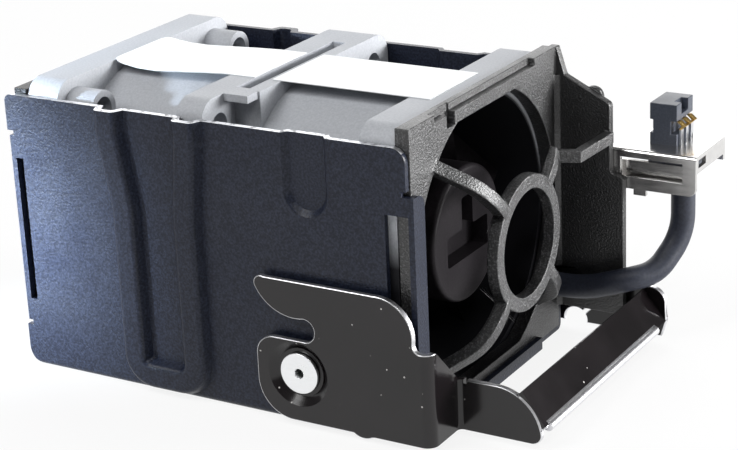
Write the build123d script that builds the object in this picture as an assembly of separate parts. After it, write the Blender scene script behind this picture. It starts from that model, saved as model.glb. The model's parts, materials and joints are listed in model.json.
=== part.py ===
from build123d import *
from math import cos, pi, radians, sin, sqrt, tan
import os

# Server fan module: two fans in series, clamped between two plastic frames in a U-shaped sheet
# cage, with a riveted release lever and a lead that ends in a connector on a bracket.
# Millimetres. +X is the intake end with the domed guard, +Z is the open side of the cage.
# The origin lies on the cage's underside, below the middle of the fan pair.

# Fans
fan_size = 40.0
fan_depth = 28.0
half = fan_size / 2
hole_pitch = 0.8 * fan_size
screw_hole_r = 1.7
duct_r = half - 1.4
duct_wall = 0.8
tube_r = duct_r + duct_wall
outer_flange = 5.0
inner_flange = 4.0
flange_corner_r = 3.0
post_r = 2.6
post_length = 4.5
strut_count = 6
strut_width = 1.1
strut_depth = 5.0
strut_twist = 18.0

# Impellers
hub_r = 0.23 * fan_size
hub_wall = 0.087 * hub_r
hub_rim_r = 0.6
hub_setback = 1.2
hub_front = fan_depth - hub_setback
hub_open_end = 3.2
hub_clearance = 0.5
hub_web_start = fan_depth - 5.6
hub_web = 2.0
recess_half, recess_low, recess_high = 0.60 * hub_r, -0.34 * hub_r, 0.11 * hub_r
stem_half, stem_high = 0.16 * hub_r, 0.57 * hub_r
front_blade_count = 5
rear_blade_count = 4
tip_clearance = 0.4
blade_chord = 0.54 * fan_depth
blade_thickness = 1.1
blade_start = 8.0
blade_end_gap = 0.6
hub_stagger = 32.0
tip_stagger = 52.0
blade_lean = 9.0

# Motors
running_fit = 0.04
seat_fit = 0.02
motor_base_r = hub_r
motor_base_depth = 1.2
shaft_r = 0.11 * hub_r
bearing_r = 0.27 * hub_r
bearing_width = 2.3
inner_ring_r = 0.16 * hub_r
bearing_wall = 0.065 * hub_r
sleeve_out_r = bearing_r + bearing_wall
sleeve_lip = 0.4
sleeve_start = motor_base_depth
sleeve_end = fan_depth - 9.8
lower_bearing_at = 2.9
upper_bearing_at = fan_depth - 12.5
base_collar_wall = 0.12 * hub_r
base_collar_height = 2.0
collar_r = sleeve_out_r + base_collar_wall
cup_wall = 0.076 * hub_r
cup_r = hub_r - hub_wall - seat_fit
cup_start = 4.0
cup_end = fan_depth - 6.4
magnet_wall = 0.11 * hub_r
magnet_r = cup_r - cup_wall - seat_fit
magnet_start = 4.6
magnet_length = fan_depth - 17.0
air_gap = 0.033 * hub_r
core_r = magnet_r - magnet_wall - air_gap
core_start = 5.0
core_length = fan_depth - 18.0
core_back = 0.11 * hub_r
tooth_count = 4
tooth_neck = 0.17 * hub_r
tooth_tip = 0.08 * hub_r
tooth_span = 0.76 * hub_r
coil_wall = 0.087 * hub_r
coil_gap = 0.05
board_r = 0.87 * hub_r
board_thickness = 0.8
chip_size = 2.0
chip_height = 0.6
clip_r = 1.7 * shaft_r
clip_thickness = 0.4
clip_groove = 0.2
clip_mouth = 1.2
shaft_tail = 0.9
washer_thickness = 0.3
boss_r = 0.26 * hub_r
boss_gap = 0.4

# Cage
sheet = 0.8
side_gap = 0.1
axis_z = sheet + half
wall_in = half + side_gap
wall_out = wall_in + sheet
wall_height = fan_size - 1.1
cage_overhang = 1.1
bend_r = 0.9
frame_depth = 2.0
frame_gap = 0.1
frame_back = fan_depth + frame_gap
frame_front = frame_back + frame_depth
flange_front = frame_front + sheet
flange_width = 2.7
front_flange_low, front_flange_high = 4.0, wall_height - 6.1
rear_flange_low, rear_flange_high = 6.6, wall_height - 5.7
relief = 0.7
bottom_corner_r = 2.6
rear_top_corner_r = 1.0
front_top_corner_r = 1.9
rail_height = 1.7
rail_width = 0.65 * fan_size
bead_width = 4.3
bead_height = 1.5
bead_low = 2.6
bead_turn_r = 2.6
bead_left, bead_right = -0.43 * fan_depth, -0.086 * fan_depth
bead_left_top, bead_right_top = bead_left - 1.7, bead_right + 0.9
bead_shift_low, bead_shift_high = wall_height - 12.9, wall_height - 2.9
bead_shift_r = 8.0
dimple_x = 0.557 * fan_depth
dimple_width = 7.2
dimple_low = wall_height - 11.0
dimple_depth = 0.9
dimple_slope = 0.7
window_rear = frame_front - 3.3
window_low, window_high = 14.0, wall_height - 8.6
slot_width = 1.1
slot_low, slot_high = 9.8, wall_height - 8.8

# Front and rear frames
frame_height = fan_size + 0.3
frame_top = sheet + frame_height
frame_opening_r = half - 0.7
frame_flat = half - 2.3
top_step = 0.9
step_half = 0.68 * half
notch_y = half / 2 - 0.5
notch_width = 2.1
notch_depth = 1.2
guard_rise = 5.7
guard_tip = frame_front + guard_rise
guard_ring_r = 0.225 * fan_size
guard_ring_width = 1.9
guard_ring_depth = 1.6
spoke_width = 1.7
spoke_depth = 1.7
short_spoke_r = 0.68 * half
short_spoke_depth = 1.4
wing_thickness = 1.2
wing_reach_high = 7.9
wing_reach_low = 9.8
wing_nose = frame_front + wing_reach_low
wing_low = 4.0
wing_root_top, wing_nose_top = frame_top - 3.8, frame_top - 7.1
wing_corner_r = 0.9
wing_rib = 0.8
wing_root_reach = 1.3
wing_pip_r = 1.4
wing_pip = 0.8
ribbon_top = axis_z + 0.47 * half
ribbon_height = 1.6
ribbon_thickness = 1.3
rear_frame_height = fan_size - 1.2
rear_opening_r = half - 1.1

# Release lever
lever_sheet = 0.8
lever_gap = 0.9
lever_in = wall_out + lever_gap
lever_out = lever_in + lever_sheet
lever_fold_r = 1.5
pivot_x, pivot_z = frame_front - 16.0, 7.5
pivot_r = 1.5
lever_low = 0.95
lever_high = 20.1
lever_nose = frame_front + 3.3
lever_rear = pivot_x - 6.1
bump_x, bump_low = pivot_x + 9.4, 0.45
bump_half = 1.5
dish_r = 4.4
dish_floor_r = 3.3
dish_depth = 0.8
ear_y = wall_out - 5.2
ear_front = lever_nose + 11.4
ear_top = 7.8
ear_relief = 0.5
jog_top = 13.4
jaw_r = 1.55
jaw_x, jaw_z = pivot_x + 1.2, 13.65
bar_thickness = 0.8
hem_r = 0.65
hem_x, hem_z = ear_front + 0.35, 3.15
hem_far_y = wall_out - 2.3
bite_r = 1.7
rivet_head_r = 2.75
rivet_head = 0.5
rivet_bore_r = 0.65
rivet_tail_r = 2.1
rivet_tail = 0.5
rivet_play = 0.1

# Bracket and connector
bracket_sheet = 0.6
bracket_y = wall_out + 0.1
bracket_low = lever_high + 2.0
bracket_high = bracket_low + 5.5
bracket_box_rear = wing_nose - 1.9
bracket_front = bracket_box_rear + 11.8
bracket_reach = 10.4
bracket_bend_r = 0.55
bracket_skirt = 2.4
bracket_lip = 3.2
bracket_hem = 1.9
bracket_hem_height = 3.6
bracket_rivet_r = 1.1
bracket_rivet_head_r = 1.9
bracket_rivet_head = 0.6
bracket_rivet_spacing = 6.0
bracket_rivet_x = 0.6 * fan_depth
bracket_rivet_z = (bracket_low + bracket_high) / 2
bracket_arm_rear = bracket_rivet_x - 6.5
housing_x, housing_y = bracket_front - 6.2, bracket_y + 6.5
housing_length, housing_width = 3.9, 5.6
housing_high = 5.7
housing_waist_low, housing_waist_high = 1.6, 3.4
housing_waist = 0.45
boot_length, boot_width, boot_height = 6.2, 6.2, 2.4
contact_count = 3
contact_pitch = 1.7
contact_size = 0.4
contact_width = 0.8
contact_knee = 2.2
contact_tip = 1.1

# Lead
sleeve_r = 1.65
sleeve_notch_r = 1.8
lead_y, lead_z = half - 2.4, axis_z - 0.64 * half
lead_exit_x, lead_exit_y = bracket_front - 3.6, bracket_y + 4.6
lead_bend_z = 15.0
lead_end = fan_depth - 8.0
lead_bend_share = 0.45
wire_r = 0.35
wire_pitch = 0.8
wire_end = 1.0

# Labels
label_thickness = 0.1
label_lift = 0.03
label_width = 0.32 * fan_size
label_offset = -0.9
label_margin = 2.0
label_seam = 0.1
label_gap = 2.6
label_end_r = 1.6
label_sag = 0.4

from_low = (Align.CENTER, Align.CENTER, Align.MIN)
on_base = (Align.CENTER, Align.MIN)
parts = {}


def along_x(sketch, x0, x1):
    """Extrudes a sketch drawn in (y, z) from x0 to x1."""
    return extrude(Plane.YZ.offset(x0) * sketch, x1 - x0)


def along_y(sketch, y0, y1):
    """Extrudes a sketch drawn in (x, z) from y0 to y1."""
    return extrude(Plane.XZ.offset(-y1) * sketch, y1 - y0)


def box(x0, x1, y0, y1, z0, z1):
    centre = Pos((x0 + x1) / 2, (y0 + y1) / 2, (z0 + z1) / 2)
    return centre * Box(x1 - x0, y1 - y0, z1 - z0)


def round_bar(x0, x1, r, bore=0.0, y=0.0, z=axis_z):
    """A round bar or ring along X, on the fan axis unless told otherwise."""
    place = Pos(x0, y, z) * Rot(0, 90, 0)
    bar = place * Cylinder(r, x1 - x0, align=from_low)
    if bore:
        bar -= place * Cylinder(bore, x1 - x0, align=from_low)
    return bar


def cross_bar(y0, y1, r, x, z, bore=0.0):
    """A round bar along Y, such as a rivet's shank."""
    place = Pos(x, y0, z) * Rot(-90, 0, 0)
    bar = place * Cylinder(r, y1 - y0, align=from_low)
    if bore:
        bar -= place * Cylinder(bore, y1 - y0, align=from_low)
    return bar


def about_axis(solid, count, start=0.0):
    """Copies of a solid, evenly spaced about the fan axis."""
    turn = [start + 360 * i / count for i in range(count)]
    return [Pos(0, 0, axis_z) * Rot(a, 0, 0) * Pos(0, 0, -axis_z) * solid for a in turn]


def face_of(*edges):
    return make_face(Curve() + list(edges))


def screw_spots():
    h = hole_pitch / 2
    return [(y, z) for y in (-h, h) for z in (axis_z - h, axis_z + h)]


# Each fan is built as the front one, from the joint between the fans outwards. The rear fan is
# its mirror image, so that the two turn opposite ways and blow the same way.
def fan_frame(with_posts=True):
    square = Pos(0, axis_z) * RectangleRounded(fan_size, fan_size, flange_corner_r)
    flanges = along_x(square, fan_depth - outer_flange, fan_depth) + along_x(square, 0, inner_flange)
    frame = flanges + round_bar(0, fan_depth, tube_r)
    if with_posts:
        for y, z in screw_spots():
            frame += round_bar(fan_depth - outer_flange - post_length, fan_depth, post_r, 0, y, z)
    for y, z in screw_spots():
        frame -= round_bar(0, fan_depth, screw_hole_r, 0, y, z)
    frame -= round_bar(0, fan_depth, duct_r)
    frame += round_bar(0, motor_base_depth, motor_base_r)
    frame += round_bar(0, motor_base_depth + base_collar_height, collar_r)
    frame -= round_bar(motor_base_depth, fan_depth, sleeve_out_r + seat_fit)
    strut = box(0, strut_depth, -strut_width / 2, strut_width / 2,
                axis_z + motor_base_r - 0.4, axis_z + duct_r + duct_wall / 2)
    twist = Pos(0, 0, axis_z) * Rot(0, 0, strut_twist) * Pos(0, 0, -axis_z)
    for arm in about_axis(twist * strut, strut_count, 30):
        frame += arm - box(-fan_depth, 0, -half, half, 0, 2 * axis_z)
    frame -= round_bar(hub_open_end - hub_clearance, fan_depth / 2, hub_r + hub_clearance, collar_r)
    return frame - lead_notch(0, fan_depth)


def lead_notch(x0, x1):
    """The slot in a corner that the lead lies in, open to the side."""
    slot = round_bar(x0, x1, sleeve_notch_r, 0, lead_y, lead_z)
    return slot + box(x0, x1, lead_y, half, lead_z - sleeve_notch_r, lead_z + sleeve_notch_r)


def front_fan_frame():
    """The front fan's joint flange has an open corner, a groove along its top and a small hook."""
    open_corner = box(0, inner_flange, -half, -0.62 * half, axis_z + 0.45 * half, axis_z + half)
    groove = box(0, inner_flange / 2, -0.6 * half, 0.6 * half, axis_z + half - 1.0, axis_z + half)
    hook = box(0, inner_flange - 0.3, -0.74 * half, -0.58 * half, axis_z + half - 1.0, axis_z + half)
    spare = round_bar(-1, fan_depth, tube_r)
    return fan_frame(with_posts=False) - (open_corner - spare) - groove + hook


def blade_section(r, stagger, lean):
    """A thin cambered lens on a plane that faces outwards at radius r, turned by the lean."""
    length = blade_chord * cos(radians(stagger)) / 2
    rise = blade_chord * sin(radians(stagger)) / 2
    camber = 0.10 * blade_chord
    t = blade_thickness / 2
    normal = (sin(radians(stagger)), cos(radians(stagger)))
    tail, nose = (-length, -rise), (length, rise)
    over = (-normal[0] * (camber + t), normal[1] * (camber + t))
    under = (-normal[0] * (camber - t), normal[1] * (camber - t))
    lens = face_of(ThreePointArc(tail, over, nose), ThreePointArc(nose, under, tail))
    middle = (blade_start + hub_front - 1.0) / 2
    plane = Plane(origin=(middle, 0, r), x_dir=(1, 0, 0), z_dir=(0, 0, 1))
    return Pos(0, 0, axis_z) * Rot(lean, 0, 0) * (plane * lens)


def impeller(blade_count):
    tip_r = duct_r - tip_clearance
    stations = [(0.85 * hub_r, hub_stagger, 0.0),
                ((hub_r + tip_r) / 2, (hub_stagger + tip_stagger) / 2, blade_lean / 2),
                (1.08 * tip_r, tip_stagger, blade_lean)]
    blade = loft([blade_section(*s) for s in stations])
    blade &= round_bar(blade_start, hub_front - blade_end_gap, tip_r, hub_r - hub_wall / 2)
    hub = round_bar(hub_open_end, hub_front, hub_r)
    rim = hub.edges().filter_by(GeomType.CIRCLE).sort_by(Axis.X)[-1]
    hub = fillet(rim, hub_rim_r)
    hub -= round_bar(hub_open_end, hub_web_start, hub_r - hub_wall)
    hub += round_bar(sleeve_end + boss_gap + washer_thickness, hub_web_start, boss_r)
    hub -= along_x(Pos(0, axis_z) * nose_recess(), hub_web_start + hub_web, hub_front)
    hub -= round_bar(hub_open_end, hub_web_start + hub_web - 0.8, shaft_r + seat_fit)
    for copy in about_axis(blade, blade_count):
        hub += copy
    return hub


def nose_recess():
    """The stepped recess in the hub's nose, in (y, z) about the fan axis."""
    bar = Polyline((-recess_half, recess_low), (recess_half, recess_low), (recess_half, recess_high),
                   (stem_half, recess_high), (stem_half, stem_high), (-stem_half, stem_high),
                   (-stem_half, recess_high), (-recess_half, recess_high), close=True)
    outline = make_face(bar)
    return fillet(outline.vertices(), 0.4)


def bearing_places():
    return (lower_bearing_at, upper_bearing_at)


def outer_rings():
    return [round_bar(s, s + bearing_width, bearing_r - seat_fit, inner_ring_r + running_fit)
            for s in bearing_places()]


def inner_rings():
    return [round_bar(s, s + bearing_width, inner_ring_r, shaft_r + seat_fit) for s in bearing_places()]


def bearing_sleeve():
    """The brass tube that holds both bearings, with a lip inside between them."""
    tube = round_bar(sleeve_start, sleeve_end, sleeve_out_r, bearing_r)
    lip = round_bar(lower_bearing_at + bearing_width, upper_bearing_at, bearing_r + 0.1,
                    bearing_r - sleeve_lip)
    return tube + lip


def stator_core():
    inner = sleeve_out_r + seat_fit
    end = core_start + core_length
    core = round_bar(core_start, end, inner + core_back, inner)
    neck = box(core_start, end, -tooth_neck / 2, tooth_neck / 2, axis_z + inner + core_back / 2,
               axis_z + core_r - tooth_tip / 2)
    tip = round_bar(core_start, end, core_r, core_r - tooth_tip)
    tip &= box(core_start, end, -tooth_span / 2, tooth_span / 2, axis_z, axis_z + core_r)
    for tooth in about_axis(neck + tip, tooth_count, 45):
        core += tooth
    return core


def windings():
    """One coil wound round each tooth of the core."""
    low = axis_z + sleeve_out_r + core_back + 2 * coil_gap
    high = axis_z + core_r - tooth_tip - 5 * coil_gap
    end = core_start + core_length
    side = tooth_neck / 2 + coil_gap
    coil = box(core_start - coil_wall, end + coil_wall, -side - coil_wall, side + coil_wall, low, high)
    coil -= box(core_start - coil_gap, end + coil_gap, -side, side, low, high)
    return about_axis(coil, tooth_count, 45)


def rotor_cup():
    cup = round_bar(cup_start, cup_end, cup_r, cup_r - cup_wall)
    return cup + round_bar(cup_end - cup_wall, cup_end, cup_r, boss_r + 0.1)


def magnet_ring():
    return round_bar(magnet_start, magnet_start + magnet_length, magnet_r, magnet_r - magnet_wall)


def shaft():
    start = lower_bearing_at - shaft_tail
    bar = round_bar(start, hub_web_start + hub_web - 1.0, shaft_r)
    groove = round_bar(lower_bearing_at - clip_thickness, lower_bearing_at, shaft_r, shaft_r - clip_groove)
    return bar - groove


def retaining_clip():
    ring = round_bar(lower_bearing_at - clip_thickness, lower_bearing_at, clip_r, shaft_r - clip_groove)
    mouth = box(0, lower_bearing_at, -clip_mouth / 2, clip_mouth / 2, axis_z - clip_r, axis_z)
    return ring - mouth


def preload_washer():
    start = upper_bearing_at + bearing_width
    return round_bar(start, start + boss_gap + washer_thickness + sleeve_end - start,
                     inner_ring_r, shaft_r + seat_fit)


def circuit_board():
    start = motor_base_depth
    board = round_bar(start, start + board_thickness, board_r, collar_r + 0.1)
    for spot in (-40, 35, 150):
        chip = box(start + board_thickness, start + board_thickness + chip_height, -chip_size / 2,
                   chip_size / 2, axis_z + 0.57 * hub_r, axis_z + 0.57 * hub_r + chip_size)
        board += Pos(0, 0, axis_z) * Rot(spot, 0, 0) * Pos(0, 0, -axis_z) * chip
    return board


def label_height(y, rise):
    """The height of a label's underside: 0 lies on the round duct, 1 on the flat flanges."""
    on_duct = axis_z + sqrt(tube_r ** 2 - y ** 2) + label_lift
    return on_duct + rise * (axis_z + half - on_duct)


def label_section(x, rise):
    """A label's cross-section at x, from its near edge to its far edge."""
    ys = [label_offset + side * label_width / 2 for side in (-1, 0, 1)]
    crown = 0.02 * rise
    under = [(y, label_height(y, rise) + c) for y, c in zip(ys, (0, crown, 0))]
    over = [(y, z + label_thickness) for y, z in under]
    band = face_of(ThreePointArc(*under), Line(under[2], over[2]), ThreePointArc(*reversed(over)),
                   Line(over[0], under[0]))
    return Plane.YZ.offset(x) * band


def rear_label():
    """The rear label spans from the end flange to the joint flange and sags a little between them."""
    start, end = -fan_depth + outer_flange - 0.4, -label_seam
    foot, crest = -fan_depth + outer_flange + 0.1, -inner_flange - 0.3
    sag = [(foot + share * (crest - foot), 1 - dip * label_sag)
           for share, dip in ((0.08, 0.5), (0.2, 0.9), (0.35, 1), (0.55, 0.7), (0.8, 0.25))]
    stations = [(start, 1.0), (foot, 1.0), *sag, (crest, 1.0), (end, 1.0)]
    strip = loft([label_section(*s) for s in stations], ruled=True)
    length = end - start
    plan = Pos((start + end) / 2, label_offset) * Rectangle(length, label_width)
    plan = fillet(plan.vertices().group_by(Axis.X)[0], label_end_r)
    return strip & extrude(plan, 3 * half)


def front_label():
    """The front label spans flat from flange to flange."""
    y0 = label_offset - label_width / 2
    top = axis_z + half
    return box(label_gap, fan_depth - label_margin, y0, y0 + label_width, top, top + label_thickness)


def fan_pieces():
    """Adds both fans, piece by piece."""
    parts["front_fan_frame"] = front_fan_frame()
    parts["rear_fan_frame"] = mirror(fan_frame(), Plane.YZ)
    parts["front_impeller"] = impeller(front_blade_count)
    parts["rear_impeller"] = mirror(impeller(rear_blade_count), Plane.YZ)
    same = {"rotor_cup": rotor_cup(), "magnet_ring": magnet_ring(), "shaft": shaft(),
            "bearing_outer_rings": outer_rings(), "bearing_inner_rings": inner_rings(),
            "bearing_sleeve": bearing_sleeve(), "stator_core": stator_core(), "windings": windings(),
            "circuit_board": circuit_board(), "retaining_clip": retaining_clip(),
            "preload_washer": preload_washer()}
    for name, shape in same.items():
        solids = shape if isinstance(shape, list) else [shape]
        parts["front_" + name] = group(solids)
        parts["rear_" + name] = group([mirror(s, Plane.YZ) for s in solids])
    parts["front_label"] = front_label()
    parts["rear_label"] = rear_label()


def group(solids):
    """Separate solids kept as one node."""
    found = [solid for shape in solids for solid in shape.solids()]
    return found[0] if len(found) == 1 else Compound(children=found)


# The cage: a folded sheet with two walls and a floor. Its rear and front flanges turn in over the
# plastic frames, each between two relief cuts, and a raised U-shaped bead stiffens each wall.
def wall_outline(has_front_flange):
    rear = -frame_front - cage_overhang
    tuck = rear + 1.4 * relief
    bent_rear = -flange_front
    front = frame_front - 0.2
    low, high = rear_flange_low, rear_flange_high
    points = [(rear, 0), (rear, low - relief), (tuck, low - relief), (tuck, low), (bent_rear, low),
              (bent_rear, high), (tuck, high), (tuck, high + relief), (rear, high + relief),
              (rear, wall_height), (front, wall_height)]
    if has_front_flange:
        low, high = front_flange_low, front_flange_high
        points += [(front, high + relief), (front - relief, high + relief), (front - relief, high),
                   (flange_front, high), (flange_front, low), (front - relief, low),
                   (front - relief, low - relief), (front, low - relief)]
    outline = make_face(Polyline(*points, (front, 0), close=True))
    for x, z, r in ((rear, 0, bottom_corner_r), (rear, wall_height, rear_top_corner_r),
                    (front, wall_height, front_top_corner_r)):
        outline = fillet(outline.vertices().sort_by_distance((x, z, 0))[0], r)
    return outline


def bead_path():
    corners = [(bead_left_top, wall_height + 1), (bead_left_top, bead_shift_high),
               (bead_left, bead_shift_low), (bead_left, bead_low), (bead_right, bead_low),
               (bead_right, bead_shift_low), (bead_right_top, bead_shift_high),
               (bead_right_top, wall_height + 1)]
    shift = [bead_shift_r, bead_shift_r]
    radii = shift + [bead_turn_r, bead_turn_r] + shift
    return FilletPolyline(*corners, radius=radii)


def ridge(width, height, foot, y):
    """A round-shouldered ridge swept along the bead's path, standing out from y towards -Y."""
    path = Plane.XZ.offset(-y) * bead_path()
    top = width / 2 - 0.45 * height
    section = make_face(Polyline((-width / 2, -foot), (-width / 2, 0), (-top, height), (top, height),
                                 (width / 2, 0), (width / 2, -foot), close=True))
    shoulders = [v for v in section.vertices() if v.Y > height - 0.01]
    section = fillet(shoulders, 0.5 * height)
    start = Plane(origin=path @ 0, x_dir=(1, 0, 0), z_dir=(0, 0, 1)) * Rot(0, 0, 180) * section
    return sweep(start, path)


def dimple_cup(width, y0, y1, slope):
    """A tongue-shaped cup that narrows from y0 to y1, open at the wall's top edge."""
    faces = []
    for y, w in ((y0, width), (y1, width - 2 * slope)):
        centre = dimple_low + dimple_width / 2
        tongue = Pos(dimple_x, centre) * Circle(w / 2)
        tongue += Pos(dimple_x, centre) * Rectangle(w, 2 * half, align=(Align.CENTER, Align.MIN))
        faces.append(Plane.XZ.offset(-y) * tongue)
    return loft([f.face() for f in faces])


def cage():
    outer = Rectangle(2 * wall_out, wall_height, align=on_base)
    outer = fillet([v for v in outer.vertices() if v.Y < 0.01], bend_r)
    inner = Pos(0, sheet) * Rectangle(2 * wall_in, wall_height, align=on_base)
    reach = flange_front + cage_overhang
    folded = along_x(outer - inner, -reach, reach)
    near = near_wall_features(folded & along_y(wall_outline(True), -wall_out, 0))
    far_blank = mirror(folded & along_y(wall_outline(False), 0, wall_out), Plane.XZ)
    body = near + mirror(near_wall_features(far_blank), Plane.XZ)
    body += near_flanges()
    body += box(-flange_front, -frame_front, wall_out - flange_width, wall_out - 0.01,
                rear_flange_low, rear_flange_high)
    body += box(frame_front - 0.3, flange_front, -rail_width / 2, rail_width / 2, 0, sheet)
    body += box(frame_front, flange_front, -rail_width / 2, rail_width / 2, 0, rail_height)
    for y0 in (-wall_out - 1, wall_in - 1):
        body -= cross_bar(y0, y0 + 3, pivot_r + seat_fit, pivot_x, pivot_z)
    for x in bracket_rivet_places():
        body -= cross_bar(wall_in - 1, wall_out + 1, bracket_rivet_r + seat_fit, x, bracket_rivet_z)
    return body


def near_wall_features(side):
    """The raised bead, the sunk dimple, the window over the frame and the slot at the rear."""
    hollow = ridge(bead_width - 1.3, bead_height - 0.1, sheet + 0.2, -wall_in)
    side += ridge(bead_width, bead_height, sheet / 2, -wall_out)
    side -= hollow
    side += dimple_cup(dimple_width, -wall_in - 0.1, -wall_in + dimple_depth - 0.1, dimple_slope)
    side -= dimple_cup(dimple_width - 0.7, -wall_out - 0.01, -wall_in - 0.1 + dimple_depth - sheet,
                       dimple_slope)
    side -= box(-frame_front, frame_front, -2 * wall_out, 0, wall_height, 2 * wall_height)
    side -= box(window_rear, frame_front, -wall_out - 1, -wall_in + 0.2, window_low, window_high)
    side -= box(-frame_front, -frame_front + slot_width, -wall_out - 1, -wall_in + 0.2, slot_low, slot_high)
    return side


def near_flanges():
    """The near wall's two flanges, which hold the frames in."""
    low, high = front_flange_low, front_flange_high
    front = box(frame_front, flange_front, -wall_out + 0.01, -wall_out + flange_width, low, high)
    tip = [e for e in front.edges().filter_by(Axis.X) if e.center().Y > -wall_in and e.center().Z > high - 1]
    front = fillet(tip, 1.5)
    rear = box(-flange_front, -frame_front, -wall_out + 0.01, -wall_out + flange_width,
               rear_flange_low, rear_flange_high)
    return front + rear


# The plastic frames
def front_frame():
    """The intake frame with its domed guard, and the wing that carries the bracket."""
    plate = Pos(0, sheet) * Rectangle(fan_size, frame_height, align=on_base)
    frame = along_x(plate - frame_opening(frame_opening_r), frame_back, frame_front)
    frame -= box(frame_front - top_step, frame_front, -step_half, step_half, frame_top - top_step, frame_top)
    frame -= box(frame_front - notch_depth, frame_front, -notch_y - notch_width / 2,
                 -notch_y + notch_width / 2, axis_z + frame_flat, frame_top)
    frame += guard_ring()
    near_top, near_low, far_low, far_top = about_axis(guard_spoke(), 4, 45)
    for spoke in (near_top, near_low, far_low):
        frame += spoke
    frame += far_top & round_bar(guard_tip - short_spoke_depth, guard_tip, short_spoke_r)
    frame += wing() + ribbon()
    return frame - lead_notch(frame_back, frame_front + 3)


def frame_opening(r):
    """A round opening cut flat where it comes near the frame's edges."""
    return Pos(0, axis_z) * (Circle(r) & Rectangle(fan_size, 2 * frame_flat))


def guard_ring():
    return round_bar(guard_tip - guard_ring_depth, guard_tip, guard_ring_r,
                     guard_ring_r - guard_ring_width)


def guard_spoke():
    """One spoke: a rib whose outer edge curves from the frame's corner up to the ring."""
    x, rise = frame_front, guard_rise
    ring = guard_ring_r - guard_ring_width / 2
    span = frame_opening_r + 1.2 - ring
    outer = [(x - 0.4, ring + span), (x + 0.42 * rise, ring + 0.77 * span),
             (x + 0.78 * rise, ring + 0.58 * span), (x + 0.95 * rise, ring + 0.38 * span), (x + rise, ring)]
    inner = [(px - spoke_depth, pr - 0.05 * span) for px, pr in outer[1:-1]]
    start = (x - 0.4 * frame_depth - 0.4, ring + 0.86 * span)
    end = (x + rise - guard_ring_depth, ring)
    side = face_of(Spline(*outer), Line(outer[-1], end), Spline(end, *reversed(inner), start),
                   Line(start, outer[0]))
    blank = extrude(Plane.XZ.offset(-spoke_width / 2) * side, spoke_width)
    return Pos(0, 0, axis_z) * blank


def wing():
    """The far side wall that runs on past the frame, with its root rib and a small pip."""
    y0 = half - 0.2
    y1 = y0 + wing_thickness
    x, back = frame_front, frame_back + 0.9
    corners = [(back, wing_low), (wing_nose, wing_low), (wing_nose, bracket_low + 2),
               (x + wing_reach_high, bracket_low + 2), (x + wing_reach_high, wing_nose_top),
               (x + wing_root_reach, wing_root_top), (x + 0.1, frame_top), (back, frame_top)]
    outline = make_face(Polyline(*corners, close=True))
    outline = fillet([v for v in outline.vertices() if v.X > x + 2], wing_corner_r)
    side = along_y(outline, y0, y1)
    side -= box(frame_back, x + 0.05, half, y1, wing_low, wall_height + 0.2)
    root = make_face(Polyline((x - 0.1, y0 + 0.1), (x - 0.1 + wing_rib, y0 + 0.1),
                              (x - 0.1, y0 + 0.1 - wing_rib), close=True))
    side += Pos(0, 0, wing_low) * extrude(root, wing_root_top - wing_low)
    pip_x = x + 0.62 * wing_reach_high
    return side + cross_bar(y1 - 0.1, y1 + wing_pip, wing_pip_r, pip_x, wing_nose_top + 0.4)


def ribbon():
    """The flat rib from the short spoke's end, forward and across to the wing's front edge."""
    path = Polyline((guard_tip - 1.5, short_spoke_r * 0.72), (guard_tip + 1.7, half * 0.55),
                    (guard_tip + 2.1, half))
    strip = trace(path, ribbon_thickness)
    return Pos(0, 0, ribbon_top - ribbon_height) * extrude(strip, ribbon_height)


def rear_frame():
    plate = Pos(0, sheet) * Rectangle(fan_size, rear_frame_height, align=on_base)
    frame = along_x(plate - frame_opening(rear_opening_r), -frame_front, -fan_depth)
    end = -frame_front + guard_ring_depth
    ring = round_bar(-frame_front, end, guard_ring_r, guard_ring_r - guard_ring_width)
    spoke = box(-frame_front, end, -spoke_width / 2, spoke_width / 2,
                axis_z + guard_ring_r - 0.5, axis_z + rear_opening_r + 1.0)
    for arm in about_axis(spoke, 4, 45):
        ring += arm
    return frame + ring


# The release lever: one folded sheet. The near side jogs inwards in front of the frame, the far
# side runs straight, and the finger bar joins their ears.
def side_outline():
    """The side plate with its finger, jaw and pivot lobe, in (x, z)."""
    rear, low, high, nose = lever_rear, lever_low, lever_high, lever_nose
    jx, jz = jaw_x, jaw_z
    lobe = 5.0
    corner = 2.6
    shoulder = 7.2
    step = jog_top
    edges = [
        Line((rear + lobe, low), (bump_x - bump_half, low)),
        ThreePointArc((bump_x - bump_half, low), (bump_x, bump_low), (bump_x + bump_half, low)),
        Line((bump_x + bump_half, low), (nose, low)),
        Line((nose, low), (nose, step)),
        Line((nose, step), (nose - 1.4, step)),
        ThreePointArc((nose - 1.4, step), (nose - 2.1, step + 0.3), (nose - 2.4, step + 1.0)),
        ThreePointArc((nose - 2.4, step + 1.0), (nose - 3.5, high - 1.8), (nose - shoulder, high)),
        Line((nose - shoulder, high), (rear + 1.6, high)),
        ThreePointArc((rear + 1.6, high), (rear + 0.4, high - 0.3), (rear + 0.2, high - 1.3)),
        ThreePointArc((rear + 0.2, high - 1.3), (rear + 2.4, high - 3.9), (jx, jz + jaw_r)),
        ThreePointArc((jx, jz + jaw_r), (jx + jaw_r, jz), (jx, jz - jaw_r)),
        Line((jx, jz - jaw_r), (rear + corner, jz - jaw_r)),
        ThreePointArc((rear + corner, jz - jaw_r), (rear + 0.3 * corner, jz - jaw_r - 0.3 * corner),
                      (rear, jz - jaw_r - corner)),
        Line((rear, jz - jaw_r - corner), (rear, low + lobe)),
        ThreePointArc((rear, low + lobe), (rear + 0.3 * lobe, low + 0.3 * lobe), (rear + lobe, low)),
    ]
    return face_of(*edges)


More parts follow.
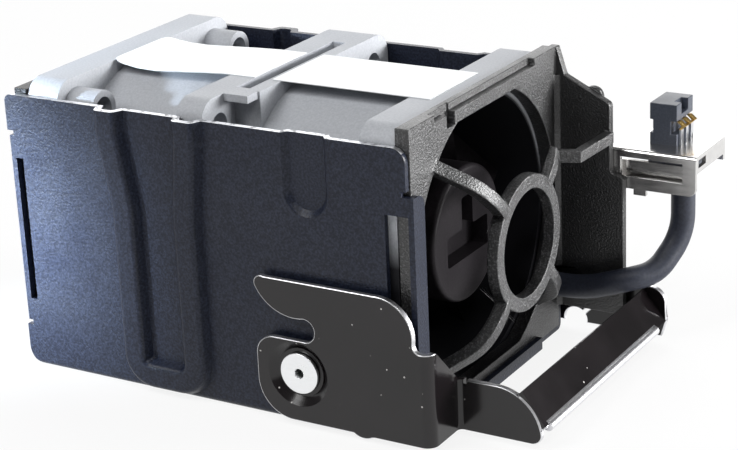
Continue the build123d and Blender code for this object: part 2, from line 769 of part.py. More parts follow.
def ear_outline(rear):
    """The near ear in front of the plate, rounded off towards its low front corner."""
    low, top, front = lever_low, ear_top, ear_front
    edges = [
        Line((rear, low), (front - 0.9, low)),
        ThreePointArc((front - 0.9, low), (front - 0.2, low + 0.5), (front, low + 1.6)),
        ThreePointArc((front, low + 1.6), (front - 1.5, top - 2.1), (front - 6.0, top)),
        Line((front - 6.0, top), (rear, top)),
        Line((rear, top), (rear, low)),
    ]
    return face_of(*edges)


def far_outline():
    """The far side in one piece: plate and ear, with a bite out of its lower edge at the frame."""
    low, top, front = lever_low, ear_top + 0.2, ear_front + 0.5
    ear = make_face(Polyline((lever_nose - 1, low), (front - 0.6, low), (front, low + 2.0),
                             (front, top), (lever_nose - 1, top), close=True))
    ear = fillet(ear.vertices().sort_by_distance((front, top, 0))[0], 2.2)
    bite_x = lever_nose - 1.6
    bite = Pos(bite_x, low + 0.4) * Circle(bite_r)
    slit = Pos(bite_x + 1.4, low + 1.7) * Rot(0, 0, 45) * Rectangle(2.2, ear_relief)
    return side_outline() + ear - bite - slit


def dish(side, facing):
    """Sinks the round dish round the pivot towards the cage wall."""
    y_out = facing * lever_out
    floor = y_out - facing * dish_depth

    def cone(r_wide, r_floor, y_wide, y_floor):
        rings = [Plane.XZ.offset(-y) * (Pos(pivot_x, pivot_z) * Circle(r)) for y, r in
                 ((y_wide, r_wide), (y_floor, r_floor))]
        return loft([ring.face() for ring in rings])

    inner = floor - facing * lever_sheet
    side += cone(dish_r, dish_floor_r + 0.4, y_out - facing * lever_sheet / 2, inner)
    side -= cone(dish_r, dish_floor_r, y_out + facing * 0.001, floor)
    low, high = sorted((y_out + facing, inner - facing))
    return side - cross_bar(low, high, pivot_r + running_fit, pivot_x, pivot_z)


def finger_bar():
    """The strip between the ears, sloping forward and down to a rolled hem."""
    slope = Line((ear_front - 2.9, ear_top - 0.4), (hem_x - 0.1, hem_z))
    strip = along_y(trace(slope, bar_thickness), -ear_y + 0.1, lever_out - 0.1)
    return strip + cross_bar(-ear_y + 1.2, hem_far_y, hem_r, hem_x, hem_z)


def near_side():
    """The near plate, the jog in front of the frame and the near ear, folded from one strip."""
    middle = lever_sheet / 2
    fold = FilletPolyline((lever_rear - 1, -lever_in - middle), (lever_nose - middle, -lever_in - middle),
                          (lever_nose - middle, -ear_y + middle), (ear_front + 1, -ear_y + middle),
                          radius=lever_fold_r - middle)
    strip = extrude(trace(fold, lever_sheet), lever_high + 1)
    ear_start = lever_nose - lever_fold_r
    strip &= along_y(side_outline() + ear_outline(ear_start), -lever_out, 0)
    above = make_face(Polyline((-lever_out + lever_fold_r, jog_top), (-ear_y, ear_top), (0, ear_top),
                               (0, lever_high), (-lever_out + lever_fold_r, lever_high), close=True))
    strip -= along_x(above, ear_start, lever_nose + lever_fold_r)
    notch_x = lever_nose + lever_fold_r - lever_sheet
    return strip - box(notch_x, notch_x + ear_relief, -ear_y - 1, -ear_y + 2, ear_top - 0.9, ear_top)


def release_lever():
    far_plate = along_y(far_outline(), lever_in, lever_out)
    return dish(near_side(), -1) + dish(far_plate, 1) + finger_bar()


def lever_rivets():
    """Tubular rivets: a wide flat head in the dish, a shank and a tail inside the wall."""
    rivets = []
    face = lever_out - dish_depth + rivet_play
    for facing in (-1, 1):
        def bar(r, start, end):
            low, high = sorted((facing * start, facing * end))
            return cross_bar(low, high, r, pivot_x, pivot_z)
        rivet = bar(rivet_head_r, face, face + rivet_head) + bar(pivot_r, wall_in - rivet_tail, face + 0.1)
        rivet += bar(rivet_tail_r, wall_in - rivet_tail, wall_in)
        rivets.append(rivet - bar(rivet_bore_r, wall_in - rivet_tail - 1, face + rivet_head + 1))
    return rivets


# The connector at the end of the lead
def bracket_rivet_places():
    return [bracket_rivet_x - bracket_rivet_spacing / 2, bracket_rivet_x + bracket_rivet_spacing / 2]


def connector_bracket():
    """A folded plate: an arm along the cage with a hemmed window, a top plate and a skirt."""
    t, y0, y1 = bracket_sheet, bracket_y, bracket_y + bracket_reach
    low, high, front, rear = bracket_low, bracket_high, bracket_front, bracket_box_rear
    bracket = box(bracket_arm_rear, front, y0, y0 + t, low, high) + box(rear, front, y0, y1, high - t, high)
    bracket += box(front - t, front, y0, y1, high - bracket_skirt, high)
    bracket += box(rear, front, y1 - t, y1, high - bracket_lip, high)
    top_edges = bracket.edges().filter_by(Axis.X).group_by(Axis.Z)[-1].sort_by(Axis.Y)
    bracket = fillet([top_edges[0], top_edges[-1]], bracket_bend_r)
    bracket += box(rear, front - 1, y0, y0 + bracket_hem, low, low + t)
    bracket += box(rear, front - 1, y0 + bracket_hem - t, y0 + bracket_hem, low, low + bracket_hem_height)
    bracket -= box(rear + 1.0, front - 1.9, y0 - 1, y0 + t, low + 1.7, high - t - 0.5)
    bracket -= box(front - t - 1, front + 1, y0 + 1.0, y0 + 3.6, high - t - 1.1, high - t)
    corner = bracket.edges().filter_by(Axis.Y).sort_by_distance((front, y0, low))[0]
    bracket = fillet(corner, 2 * bracket_bend_r)
    bracket += box(rear + 2.9, rear + 4.7, y0, y0 + t, low - 0.8, low + 0.1)
    opening = Pos(housing_x, housing_y) * Rectangle(housing_length + 0.04, housing_width + 0.04)
    bracket -= Pos(0, 0, high - 2 * t) * extrude(opening, 4 * t)
    for x in bracket_rivet_places():
        bracket -= cross_bar(y0 - 1, y0 + t + 1, bracket_rivet_r + seat_fit, x, bracket_rivet_z)
    return bracket


def bracket_rivets():
    rivets = []
    for x in bracket_rivet_places():
        z = bracket_rivet_z
        head = bracket_y + bracket_sheet
        rivet = cross_bar(wall_in - 0.4, head + 0.2, bracket_rivet_r, x, z)
        rivet += cross_bar(head, head + bracket_rivet_head, bracket_rivet_head_r, x, z)
        rivet += cross_bar(wall_in - 0.5, wall_in, bracket_rivet_head_r - 0.4, x, z)
        rivets.append(rivet)
    return rivets


def contact_places():
    middle = (contact_count - 1) / 2
    return [housing_y + (i - middle) * contact_pitch for i in range(contact_count)]


def connector_housing():
    """An upright block with a waist, a notched head and a boot below the bracket for the lead."""
    x0, x1 = housing_x - housing_length / 2, housing_x + housing_length / 2
    y0, y1 = housing_y - housing_width / 2, housing_y + housing_width / 2
    base, top = bracket_high, bracket_high + housing_high
    boot_top = bracket_high - bracket_sheet
    body = box(x0, x1, y0, y1, boot_top, top)
    body += box(x0, x0 + boot_length, y1 - boot_width, y1, boot_top - boot_height, boot_top)
    low, high = base + housing_waist_low, base + housing_waist_high
    body -= box(x0 - 1, x0 + housing_waist, y0 - 1, y1 + 1, low, high)
    body -= box(x1 - 2 * housing_waist, x1 + 1, y0 - 1, y1 + 1, low, high)
    gap = housing_width / 5
    body -= box(x1 - 1.5 * gap, x1 + 1, housing_y - gap, housing_y + gap, high + 0.7, top - 0.9)
    body -= box(x1 - 0.9 * gap, x1 + 1, housing_y - gap, housing_y + gap, high + 0.7, top)
    return body


def connector_contacts():
    """Springy blades up the housing's front face, each bowed forward at its gilded tip."""
    x, t = housing_x + housing_length / 2, contact_size
    low, knee = bracket_high, bracket_high + contact_knee
    bow, tip = knee + 0.4 * contact_tip, knee + contact_tip
    side = make_face(Polyline((x, low), (x + t, low), (x + t, knee), (x + 2.4 * t, bow),
                              (x + 0.4 * t, tip), (x - t, tip), (x + t, bow), (x, knee), close=True))
    return [along_y(side, y - contact_width / 2, y + contact_width / 2) for y in contact_places()]


def lead_sleeve():
    """The sleeved lead, from under the connector round the wing into the frame's corner."""
    points = [
        (lead_exit_x, lead_exit_y, bracket_high - bracket_sheet - boot_height),
        (lead_exit_x, lead_exit_y, lead_bend_z),
        (wing_nose + 4.3, wall_out + 0.3, lead_z + 2.5),
        (wing_nose + 1.3, lead_y - 0.1, lead_z + 2.2),
        (frame_front + 4.9, lead_y, lead_z),
        (lead_end, lead_y, lead_z),
    ]
    radii = []
    for before, at, after in zip(points, points[1:], points[2:]):
        way_in, way_out = Vector(*at) - Vector(*before), Vector(*after) - Vector(*at)
        turn = radians(way_in.get_angle(way_out))
        radii.append(lead_bend_share * min(way_in.length, way_out.length) / tan(turn / 2))
    print("lead radii", [round(r, 1) for r in radii])
    path = FilletPolyline(*points, radius=radii)
    start = Plane(origin=path @ 0, z_dir=path % 0)
    sleeve = sweep(start * Circle(sleeve_r), path)
    print("lead length", round(path.length, 1), "volume ratio",
          round(sleeve.volume / (pi * sleeve_r ** 2 * path.length), 3))
    return sleeve


def fan_leads(rows, end):
    """Bare wires that run on from the sleeve along the fans' corner to a fan's joint end."""
    return [round_bar(end, lead_end, wire_r, 0, lead_y + column * wire_pitch, lead_z + row * wire_pitch)
            for row in rows for column in (-0.5, 0.5)]


fan_pieces()
parts["cage"] = cage()
parts["front_frame"] = front_frame()
parts["rear_frame"] = rear_frame()
parts["release_lever"] = release_lever()
parts["lever_rivets"] = group(lever_rivets())
parts["connector_bracket"] = connector_bracket()
parts["bracket_rivets"] = group(bracket_rivets())
parts["connector_housing"] = connector_housing()
parts["connector_contacts"] = group(connector_contacts())
parts["lead_sleeve"] = lead_sleeve()
parts["front_fan_leads"] = group(fan_leads((-1.5, -0.5), wire_end))
parts["rear_fan_leads"] = group(fan_leads((0.5, 1.5), -wire_end))

os.makedirs("parts", exist_ok=True)
for name, shape in parts.items():
    export_step(shape, "parts/" + name + ".step")
print(len(parts), "nodes")
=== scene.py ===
import json
import math

import bmesh
import bpy
from mathutils import Matrix, Vector


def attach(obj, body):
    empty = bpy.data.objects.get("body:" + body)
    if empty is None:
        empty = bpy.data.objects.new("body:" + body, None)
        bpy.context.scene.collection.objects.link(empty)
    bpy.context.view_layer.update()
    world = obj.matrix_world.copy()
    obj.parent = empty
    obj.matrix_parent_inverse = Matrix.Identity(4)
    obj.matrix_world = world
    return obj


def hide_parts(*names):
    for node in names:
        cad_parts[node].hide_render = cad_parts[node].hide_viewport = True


# A server fan module on a plain white floor, seen as in the photograph.
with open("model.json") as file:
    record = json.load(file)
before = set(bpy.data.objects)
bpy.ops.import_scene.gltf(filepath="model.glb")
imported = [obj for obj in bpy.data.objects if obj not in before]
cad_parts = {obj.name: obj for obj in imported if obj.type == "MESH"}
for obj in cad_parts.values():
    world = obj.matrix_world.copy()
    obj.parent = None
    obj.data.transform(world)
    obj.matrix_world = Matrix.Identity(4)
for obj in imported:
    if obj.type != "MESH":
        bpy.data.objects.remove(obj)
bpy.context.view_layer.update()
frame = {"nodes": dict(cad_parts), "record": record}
nodes = frame["nodes"]
scene = bpy.context.scene
mm = 0.001
print("frame loaded", len(nodes))


# Shader helpers
def newMaterial(name):
    material = bpy.data.materials.new(name)
    material.use_nodes = True
    tree = material.node_tree
    return material, tree, tree.nodes["Principled BSDF"]


def addNode(tree, kind, **values):
    node = tree.nodes.new(kind)
    for key, value in values.items():
        setattr(node, key, value)
    return node


def objectCoords(tree, scale=(1, 1, 1), location=(0, 0, 0)):
    coords = addNode(tree, "ShaderNodeTexCoord")
    mapping = addNode(tree, "ShaderNodeMapping")
    mapping.inputs["Scale"].default_value = scale
    mapping.inputs["Location"].default_value = location
    tree.links.new(coords.outputs["Object"], mapping.inputs["Vector"])
    return mapping.outputs["Vector"]


def objectAxes(tree):
    axes = addNode(tree, "ShaderNodeSeparateXYZ")
    tree.links.new(objectCoords(tree), axes.inputs["Vector"])
    return axes.outputs


# A grain's size is its width in metres
def addNoise(tree, vector, size, detail=2.0, rough=0.5):
    noise = addNode(tree, "ShaderNodeTexNoise")
    noise.inputs["Scale"].default_value = 1 / size
    noise.inputs["Detail"].default_value = detail
    noise.inputs["Roughness"].default_value = rough
    tree.links.new(vector, noise.inputs["Vector"])
    return noise.outputs["Fac"]


noiseSpan = (0.3, 0.7)  # most of a noise's values lie between these


def addRamp(tree, factor, dark, light, span=noiseSpan):
    ramp = addNode(tree, "ShaderNodeValToRGB")
    for element, position, color in zip(ramp.color_ramp.elements, span, (dark, light)):
        element.position = position
        element.color = (*color, 1)
    tree.links.new(factor, ramp.inputs["Fac"])
    return ramp.outputs["Color"]


def mapRange(tree, factor, low, high, toLow=0.0, toHigh=1.0):
    node = addNode(tree, "ShaderNodeMapRange")
    ends = {"From Min": low, "From Max": high, "To Min": toLow, "To Max": toHigh}
    for key, value in ends.items():
        node.inputs[key].default_value = value
    tree.links.new(factor, node.inputs["Value"])
    return node.outputs["Result"]


def addMath(tree, operation, first, second):
    node = addNode(tree, "ShaderNodeMath", operation=operation)
    tree.links.new(first, node.inputs[0])
    tree.links.new(second, node.inputs[1])
    return node.outputs["Value"]


def addRoughness(tree, shader, noise, low, high):
    tree.links.new(mapRange(tree, noise, *noiseSpan, low, high), shader.inputs["Roughness"])


def addBump(tree, shader, height, look):
    bump = addNode(tree, "ShaderNodeBump")
    bump.inputs["Strength"].default_value = look["strength"]
    bump.inputs["Distance"].default_value = look["depth"]
    tree.links.new(height, bump.inputs["Height"])
    tree.links.new(bump.outputs["Normal"], shader.inputs["Normal"])


# A Mix node has sockets for every kind of value, and these are the ones for colours
mixInputs, mixOutput = (6, 7), 2


def mixColors(tree, factor, first, second):
    mix = addNode(tree, "ShaderNodeMix", data_type="RGBA")
    tree.links.new(factor, mix.inputs["Factor"])
    for index, value in zip(mixInputs, (first, second)):
        if isinstance(value, tuple):
            mix.inputs[index].default_value = (*value, 1)
        else:
            tree.links.new(value, mix.inputs[index])
    return mix.outputs[mixOutput]


# Plastics and coats differ in colour, grain and gloss only. The span holds the grain's values
# at which the dark ends and the light begins
finishes = {
    "cagePaint": {
        "dark": (0.006, 0.008, 0.017), "light": (0.024, 0.030, 0.052), "span": (0.38, 0.72),
        "rough": 0.38, "gloss": 0.30, "grain": 0.30 * mm, "strength": 0.8, "depth": 0.07 * mm,
    },
    "framePlastic": {
        "dark": (0.003, 0.003, 0.0035), "light": (0.13, 0.13, 0.135), "span": (0.50, 0.78),
        "rough": 0.40, "gloss": 1.0, "grain": 0.26 * mm, "strength": 1.0, "depth": 0.12 * mm,
    },
    # Painted light: this light grey stands for the lit top of the black fan plastic
    "fanPlastic": {
        "dark": (0.43, 0.445, 0.475), "light": (0.50, 0.515, 0.545), "span": (0.35, 0.68),
        "rough": 0.55, "gloss": 0.15, "grain": 0.30 * mm, "strength": 0.3, "depth": 0.03 * mm,
    },
    "impellerPlastic": {
        "dark": (0.010, 0.0085, 0.010), "light": (0.015, 0.013, 0.015), "span": (0.35, 0.68),
        "rough": 0.46, "gloss": 0.1, "grain": 0.4 * mm, "strength": 0.2, "depth": 0.03 * mm,
    },
    "connectorPlastic": {
        "dark": (0.034, 0.040, 0.056), "light": (0.050, 0.058, 0.078), "span": (0.35, 0.68),
        "rough": 0.4, "gloss": 0.5, "grain": 0.25 * mm, "strength": 0.2, "depth": 0.02 * mm,
    },
    "leadSleeving": {
        "dark": (0.015, 0.018, 0.029), "light": (0.026, 0.030, 0.046), "span": (0.35, 0.68),
        "rough": 0.50, "gloss": 0.4, "grain": 0.35 * mm, "strength": 0.4, "depth": 0.05 * mm,
    },
    "boardMask": {
        "dark": (0.015, 0.09, 0.035), "light": (0.02, 0.12, 0.045), "span": (0.35, 0.68),
        "rough": 0.35, "gloss": 0.5, "grain": 0.8 * mm, "strength": 0.15, "depth": 0.02 * mm,
    },
    "magnetRubber": {
        "dark": (0.03, 0.027, 0.025), "light": (0.05, 0.045, 0.042), "span": (0.35, 0.68),
        "rough": 0.7, "gloss": 0.3, "grain": 0.4 * mm, "strength": 0.2, "depth": 0.03 * mm,
    },
}
# The roughness wanders by this much either way, over patches so many grains wide
wander = {"rough": 0.05, "grains": 22}


def grainedFinish(name):
    look = finishes[name]
    material, tree, shader = newMaterial(name)
    vector = objectCoords(tree)
    fine = addNoise(tree, vector, look["grain"], detail=3.0)
    broad = addNoise(tree, vector, wander["grains"] * look["grain"])
    color = addRamp(tree, fine, look["dark"], look["light"], look["span"])
    tree.links.new(color, shader.inputs["Base Color"])
    shader.inputs["Specular IOR Level"].default_value = look["gloss"]
    addRoughness(tree, shader, broad, look["rough"] - wander["rough"],
                 look["rough"] + wander["rough"])
    addBump(tree, shader, fine, look)
    return material, tree, shader, color


# Painted light: outside the duct radius and above the given heights the plastic turns light grey
# for its lit top; the colour here is the plastic's own black
fanPaintedTopLight = {
    "axisHeight": 20.8 * mm, "radius": 19.0 * mm, "blend": 0.2 * mm, "color": (0.008, 0.008, 0.010),
    "litFrom": 23 * mm, "fullyLitBy": 30 * mm,
}


# Painted light: outside the ducts and towards the cage's open side the plastic is painted light
# grey for its lit top, and it keeps its own black elsewhere
def fanFinish():
    material, tree, shader, litTopColor = grainedFinish("fanPlastic")
    across = objectCoords(tree, (0, 1, 1), (0, 0, -fanPaintedTopLight["axisHeight"]))
    radius = addNode(tree, "ShaderNodeVectorMath", operation="LENGTH")
    tree.links.new(across, radius.inputs[0])
    edge, blend = fanPaintedTopLight["radius"], fanPaintedTopLight["blend"]
    outside = mapRange(tree, radius.outputs["Value"], edge - blend, edge + blend)
    height = objectAxes(tree)["Z"]
    openSide = mapRange(tree, height, fanPaintedTopLight["litFrom"], fanPaintedTopLight["fullyLitBy"])
    paintedLightMask = addMath(tree, "MULTIPLY", outside, openSide)
    tree.links.new(mixColors(tree, paintedLightMask, fanPaintedTopLight["color"], litTopColor), shader.inputs["Base Color"])
    return material


# The speckle comes in from behind to ahead, and goes again from near to far, down to the share
# left, as painted shade on the far wing
frameSpeckleFade = {
    "behind": 0.0, "ahead": 10 * mm, "near": 9 * mm, "far": 18 * mm, "left": 0.2,
    "rearGloss": 0.3,
}


# The speckled grain and full gloss show on the near front; the far wing is darkened as painted
# shade, and towards the rear the frame is plain black with less gloss
def frameFinish():
    look = finishes["framePlastic"]
    material, tree, shader, speckledColor = grainedFinish("framePlastic")
    place = objectAxes(tree)
    front = mapRange(tree, place["X"], frameSpeckleFade["behind"], frameSpeckleFade["ahead"])
    nearness = mapRange(tree, place["Y"], frameSpeckleFade["near"], frameSpeckleFade["far"], 1.0, frameSpeckleFade["left"])
    litSpeckleMask = addMath(tree, "MULTIPLY", front, nearness)
    tree.links.new(mixColors(tree, litSpeckleMask, look["dark"], speckledColor), shader.inputs["Base Color"])
    tree.links.new(mapRange(tree, front, 0, 1, frameSpeckleFade["rearGloss"], look["gloss"]),
                   shader.inputs["Specular IOR Level"])
    return material


metals = {
    "motorSteel": {"color": (0.42, 0.42, 0.43), "rough": 0.38},
    "shaftSteel": {"color": (0.60, 0.60, 0.61), "rough": 0.25},
    "sleeveBrass": {"color": (0.72, 0.52, 0.25), "rough": 0.3},
    "windingCopper": {"color": (0.60, 0.25, 0.11), "rough": 0.35},
    "rivetSteel": {"color": (0.94, 0.95, 0.96), "rough": 0.30},
    "bracketNickel": {"color": (0.72, 0.71, 0.70), "rough": 0.22},
    # Bright bare sheet on the lever's cut edges, hem and rounds: partly bare metal, partly a
    # painted highlight
    "bareSheetAndHighlight": {"color": (0.74, 0.74, 0.76), "rough": 0.34},
}
# Brushing runs along X, in streaks four times as long as wide
brushing = {
    "widthPerLength": 0.25, "width": 0.6 * mm, "dull": 0.94, "smoother": 0.03, "rougher": 0.04,
    "strength": 0.03, "depth": 0.01 * mm,
}


def metalFinish(name):
    look = metals[name]
    material, tree, shader = newMaterial(name)
    vector = objectCoords(tree, (brushing["widthPerLength"], 1, 1))
    streaks = addNoise(tree, vector, brushing["width"])
    shader.inputs["Metallic"].default_value = 1.0
    dull = tuple(brushing["dull"] * c for c in look["color"])
    tree.links.new(addRamp(tree, streaks, dull, look["color"]), shader.inputs["Base Color"])
    addRoughness(tree, shader, streaks, look["rough"] - brushing["smoother"],
                 look["rough"] + brushing["rougher"])
    addBump(tree, shader, streaks, brushing)
    return material


labelLook = {
    "dark": (0.76, 0.78, 0.80), "light": (0.84, 0.86, 0.87), "wave": 3.0 * mm, "rough": 0.38,
    "strength": 0.15, "depth": 0.15 * mm,
}


# Plain film, not quite flat
def labelFilm():
    material, tree, shader = newMaterial("labelFilm")
    waves = addNoise(tree, objectCoords(tree), labelLook["wave"])
    color = addRamp(tree, waves, labelLook["dark"], labelLook["light"])
    tree.links.new(color, shader.inputs["Base Color"])
    shader.inputs["Roughness"].default_value = labelLook["rough"]
    addBump(tree, shader, waves, labelLook)
    return material


leverLook = {
    "dark": (0.004, 0.003, 0.0035), "light": (0.008, 0.006, 0.007), "patch": 9 * mm,
    "rough": (0.14, 0.20), "gloss": 0.5, "grain": 0.5 * mm, "strength": 0.06, "depth": 0.03 * mm,
}
# A speck ends between its two radii, in spacings. Cells with a random value under "bare" have none
dust = {
    "color": (0.60, 0.58, 0.56), "spacing": 2.2 * mm, "speck": (0.040, 0.064),
    "bare": 0.42, "dusty": 0.43,
}


# A gloss coat with a few dust specks
def leverCoat():
    material, tree, shader = newMaterial("leverCoat")
    vector = objectCoords(tree)
    broad = addNoise(tree, vector, leverLook["patch"])
    coat = addRamp(tree, broad, leverLook["dark"], leverLook["light"])
    cells = addNode(tree, "ShaderNodeTexVoronoi")
    cells.inputs["Scale"].default_value = 1 / dust["spacing"]
    tree.links.new(vector, cells.inputs["Vector"])
    speck = mapRange(tree, cells.outputs["Distance"], *dust["speck"], 1.0, 0.0)
    some = mapRange(tree, cells.outputs["Color"], dust["bare"], dust["dusty"])
    specks = addMath(tree, "MULTIPLY", speck, some)
    tree.links.new(mixColors(tree, specks, coat, dust["color"]), shader.inputs["Base Color"])
    addRoughness(tree, shader, broad, *leverLook["rough"])
    shader.inputs["Specular IOR Level"].default_value = leverLook["gloss"]
    addBump(tree, shader, addNoise(tree, vector, leverLook["grain"]), leverLook)
    return material


contactLook = {
    "tin": (0.62, 0.63, 0.65), "gold": (0.90, 0.60, 0.20), "giltFrom": 29.7 * mm,
    "blend": 0.1 * mm, "rough": 0.28, "grain": 0.3 * mm, "strength": 0.1, "depth": 0.02 * mm,
}


# Tinned legs with gilded tips
def contactFinish():
    material, tree, shader = newMaterial("contactMetal")
    giltFrom = contactLook["giltFrom"]
    gilt = mapRange(tree, objectAxes(tree)["Z"], giltFrom, giltFrom + contactLook["blend"])
    tree.links.new(mixColors(tree, gilt, contactLook["tin"], contactLook["gold"]),
                   shader.inputs["Base Color"])
    shader.inputs["Metallic"].default_value = 1.0
    shader.inputs["Roughness"].default_value = contactLook["rough"]
    grain = addNoise(tree, objectCoords(tree), contactLook["grain"])
    addBump(tree, shader, grain, contactLook)
    return material


edgeWearAndHighlight = {
    "paint": (0.10, 0.105, 0.12), "bare": (0.62, 0.63, 0.66), "patch": 0.9 * mm,
    "span": (0.34, 0.46), "rough": 0.4, "strength": 0.5, "depth": 0.08 * mm,
}


# Bare sheet shows on the cut edge, with patches where the paint still holds: partly wear, and
# partly a painted highlight along the near top edge
def wornEdgeAndHighlight():
    material, tree, shader = newMaterial("wornEdgeAndHighlight")
    patches = addNoise(tree, objectCoords(tree), edgeWearAndHighlight["patch"], detail=3.0, rough=0.6)
    bare = mapRange(tree, patches, *edgeWearAndHighlight["span"])
    tree.links.new(mixColors(tree, bare, edgeWearAndHighlight["paint"], edgeWearAndHighlight["bare"]),
                   shader.inputs["Base Color"])
    tree.links.new(bare, shader.inputs["Metallic"])
    shader.inputs["Roughness"].default_value = edgeWearAndHighlight["rough"]
    addBump(tree, shader, patches, edgeWearAndHighlight)
    return material


ownFinishes = {
    "fanPlastic": fanFinish, "framePlastic": frameFinish, "contactMetal": contactFinish,
    "labelFilm": labelFilm, "leverCoat": leverCoat, "wornEdgeAndHighlight": wornEdgeAndHighlight,
}
materials = {name: grainedFinish(name)[0] for name in finishes if name not in ownFinishes}
materials.update({name: metalFinish(name) for name in metals})
materials.update({name: makeFinish() for name, makeFinish in ownFinishes.items()})

slotLooks = {
    "cage_paint": "cagePaint", "frame_plastic": "framePlastic", "fan_plastic": "fanPlastic",
    "impeller_plastic": "impellerPlastic", "motor_steel": "motorSteel",
    "magnet_rubber": "magnetRubber", "shaft_steel": "shaftSteel", "sleeve_brass": "sleeveBrass",
    "winding_copper": "windingCopper", "board": "boardMask", "label_film": "labelFilm",
    "lever_paint": "leverCoat", "rivet_steel": "rivetSteel", "bracket_nickel": "bracketNickel",
    "connector_plastic": "connectorPlastic", "contact_metal": "contactMetal",
    "lead_sleeving": "leadSleeving", "lead_insulation": "leadSleeving",
}
for entry in frame["record"]["subparts"]:
    mesh = nodes[entry["node"]].data
    mesh.materials.clear()
    mesh.materials.append(materials[slotLooks[entry["material_slot"]]])
print("materials set", len(materials))

# The pieces in view get small rounded edges: each is a merged copy of its node with a bevel
bodyOf = {node: body for body, members in frame["record"]["behaviour"]["bodies"].items()
          for node in members}
edgeRounds = {
    "cage": 0.16, "front_frame": 0.14, "rear_frame": 0.14, "front_fan_frame": 0.16,
    "rear_fan_frame": 0.16, "release_lever": 0.13, "connector_bracket": 0.06,
    "connector_housing": 0.10, "connector_contacts": 0.05, "lever_rivets": 0.08,
}
fullRounds = {"front_frame", "release_lever"}  # these keep their width beside short edges
# Corners nearer than "merged", in metres, are one; faces that turn less than "flat" are one
rounding = {"segments": 2, "sharp": math.radians(32), "flat": math.radians(0.3), "merged": 0.5e-6}

# The limits of the cut faces' normals and centres, the centres in millimetres
cageCut = {"up": 0.6, "above": 37.0, "nearSide": -19.5}
leverCut = {
    "sideways": 0.35, "sidePlate": 21.7, "ear": (-15.8, -14.8), "earAhead": 34.5,
    "hemAhead": 44.4, "hemHeight": (2.2, 4.0), "hemLength": (-14.6, 18.7),
}


def isBetween(value, limits):
    return limits[0] < value < limits[1]


def isCageEdge(normal, center):
    atTop = normal.z > cageCut["up"] and center.z > cageCut["above"]
    return atTop and center.y < cageCut["nearSide"]


def isLeverEdge(normal, center):
    onSidePlate = abs(center.y) > leverCut["sidePlate"]
    nearEar = isBetween(center.y, leverCut["ear"]) and center.x > leverCut["earAhead"]
    onHem = (center.x > leverCut["hemAhead"] and isBetween(center.z, leverCut["hemHeight"])
             and isBetween(center.y, leverCut["hemLength"]))
    return (onSidePlate or nearEar) and abs(normal.y) < leverCut["sideways"] or onHem


# Which faces are cut, and what shows on them: bare metal, partly wear and partly a painted
# highlight
cutEdges = {"cage": (isCageEdge, "wornEdgeAndHighlight"), "release_lever": (isLeverEdge, "bareSheetAndHighlight")}
# Here only the edges between painted and cut faces get rounds, which are bare too, widening the
# bare metal into a painted highlight along the edge
bareHighlightRounds = {"release_lever"}


def mergedCopy(node):
    copy = bpy.data.objects.new(node + "Rounded", nodes[node].data.copy())
    scene.collection.objects.link(copy)
    work = bmesh.new()
    work.from_mesh(copy.data)
    bmesh.ops.remove_doubles(work, verts=work.verts, dist=rounding["merged"])
    bmesh.ops.dissolve_limit(work, angle_limit=rounding["flat"], verts=work.verts, edges=work.edges)
    return copy, work


# The sharp edges that get no round stay crisp
def weighCutEdges(work):
    weights = work.edges.layers.float.new("bevel_weight_edge")
    for edge in work.edges:
        if len(edge.link_faces) == 2 and edge.calc_face_angle() > rounding["sharp"]:
            first, second = (face.material_index for face in edge.link_faces)
            edge.smooth = False
            edge[weights] = float(first != second)


def roundEdges(node):
    copy, work = mergedCopy(node)
    if node in cutEdges:
        isCut, bare = cutEdges[node]
        copy.data.materials.append(materials[bare])
        for face in work.faces:
            if isCut(face.normal, face.calc_center_median() / mm):
                face.material_index = 1
    for face in work.faces:
        face.smooth = True
    onlyCut = node in bareHighlightRounds
    if onlyCut:
        weighCutEdges(work)
    work.to_mesh(copy.data)
    work.free()
    bevel = copy.modifiers.new("edges", "BEVEL")
    bevel.width = edgeRounds[node] * mm
    bevel.segments = rounding["segments"]
    bevel.limit_method = "WEIGHT" if onlyCut else "ANGLE"
    bevel.angle_limit = rounding["sharp"]
    bevel.harden_normals = True
    bevel.material = 1 if onlyCut else -1
    bevel.use_clamp_overlap = node not in fullRounds
    weighted = copy.modifiers.new("shading", "WEIGHTED_NORMAL")
    weighted.keep_sharp = True
    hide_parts(node)
    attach(copy, bodyOf[node])


for node in edgeRounds:
    roundEdges(node)
print("edges rounded", len(edgeRounds))


# The mask is 1 for a ray of any of the named kinds
def addPathMask(tree, kinds):
    path = addNode(tree, "ShaderNodeLightPath")
    mask = path.outputs[kinds[0]]
    for kind in kinds[1:]:
        mask = addMath(tree, "MAXIMUM", mask, path.outputs[kind])
    return mask


floorLook = {"size": 3.0, "color": (0.88, 0.88, 0.88), "rough": 0.9, "whiteness": 0.86}


# Near white to the camera and in reflections, plain and pale to the light
def makeFloor():
    bpy.ops.mesh.primitive_plane_add(size=floorLook["size"], location=(0, 0, 0))
    floor = bpy.context.object
    floor.name = "floor"
    material, tree, shader = newMaterial("floorPaper")
    shader.inputs["Base Color"].default_value = (*floorLook["color"], 1)
    shader.inputs["Roughness"].default_value = floorLook["rough"]
    glow = addNode(tree, "ShaderNodeEmission")
    glow.inputs["Color"].default_value = (1, 1, 1, 1)
    mix = addNode(tree, "ShaderNodeMixShader")
    seen = addPathMask(tree, ["Is Camera Ray", "Is Glossy Ray", "Is Transmission Ray"])
    tree.links.new(mapRange(tree, seen, 0, 1, 0.0, floorLook["whiteness"]), mix.inputs["Fac"])
    tree.links.new(shader.outputs["BSDF"], mix.inputs[1])
    tree.links.new(glow.outputs["Emission"], mix.inputs[2])
    tree.links.new(mix.outputs["Shader"], tree.nodes["Material Output"].inputs["Surface"])
    floor.data.materials.append(material)


makeFloor()

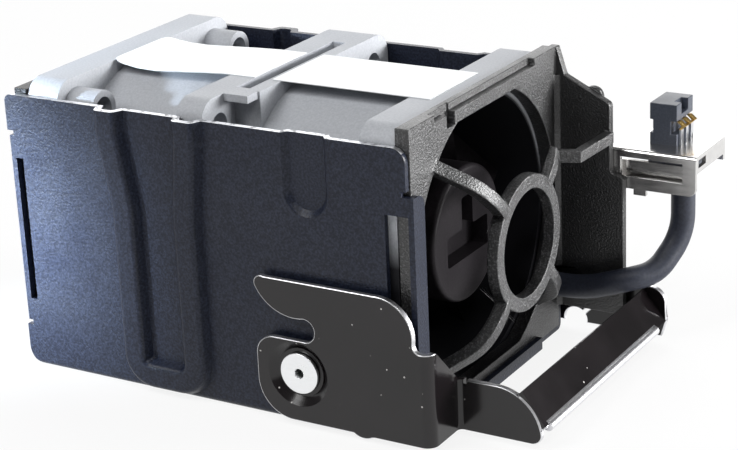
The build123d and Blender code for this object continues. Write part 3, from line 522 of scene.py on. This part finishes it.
# Places, sizes and aims are in metres, powers in watts and spreads in degrees
lamps = {
    "backLeft": {"place": (-0.40, 0.66, 0.36), "size": (0.75, 0.75), "power": 4.1},
    "topLeft": {"place": (-0.25, -0.40, 0.60), "size": (0.4, 0.4), "power": 3.1},
    "right": {"place": (0.47, 0.21, 0.09), "size": (0.28, 0.14), "power": 4.8},
    "frontTop": {"place": (0.35, -0.25, 0.62), "size": (0.1, 0.1), "power": 1.0},
    "leftEnd": {"place": (-0.13, -0.12, 0.05), "size": (0.03, 0.03), "power": 0.058,
                "spread": 14, "aim": (-0.045, -0.021, 0.022), "color": (0.72, 0.85, 1.0)},
}


def addLamp(name, place, size, power, color=(1, 1, 1), spread=180, aim=(0, 0, 0.02)):
    data = bpy.data.lights.new(name, "AREA")
    data.shape = "RECTANGLE"
    data.size, data.size_y = size
    data.energy = power
    data.color = color
    data.spread = math.radians(spread)
    lamp = bpy.data.objects.new(name, data)
    lamp.visible_camera = False
    scene.collection.objects.link(lamp)
    turn = (Vector(aim) - Vector(place)).to_track_quat("-Z", "Y").to_matrix().to_4x4()
    lamp.matrix_world = Matrix.Translation(place) @ turn


for name, look in lamps.items():
    addLamp(name, **look)

worldLook = {"fill": 0.15, "seen": 1.0}


# White where it is seen, and a weak fill to the light
def makeWorld():
    world = bpy.data.worlds.new("studio")
    scene.world = world
    world.use_nodes = True
    tree = world.node_tree
    background = tree.nodes["Background"]
    background.inputs["Color"].default_value = (1, 1, 1, 1)
    white = addPathMask(tree, ["Is Camera Ray", "Is Transmission Ray"])
    tree.links.new(mapRange(tree, white, 0, 1, worldLook["fill"], worldLook["seen"]),
                   background.inputs["Strength"])


makeWorld()
scene.view_settings.view_transform = "Standard"

# Fitted to the photograph: the roll is in degrees, the lens and sensor in millimetres
cameraLook = {
    "place": (0.14828, -0.22353, 0.11538), "forward": (-0.48939, 0.80170, -0.34318),
    "roll": 2.61, "lens": 101.73, "sensor": 36.0, "clipStart": 0.01,
}


def makeCamera():
    forward = Vector(cameraLook["forward"]).normalized()
    right = forward.cross(Vector((0, 0, 1))).normalized()
    down = -right.cross(forward)
    roll = math.radians(cameraLook["roll"])
    right = math.cos(roll) * right + math.sin(roll) * down
    up = right.cross(forward)
    data = bpy.data.cameras.new("photoCamera")
    data.lens = cameraLook["lens"]
    data.sensor_width = cameraLook["sensor"]
    data.clip_start = cameraLook["clipStart"]
    camera = bpy.data.objects.new("photoCamera", data)
    scene.collection.objects.link(camera)
    turn = Matrix((right, up, -forward)).transposed().to_4x4()
    camera.matrix_world = Matrix.Translation(cameraLook["place"]) @ turn
    scene.camera = camera


makeCamera()
print("light and camera set")
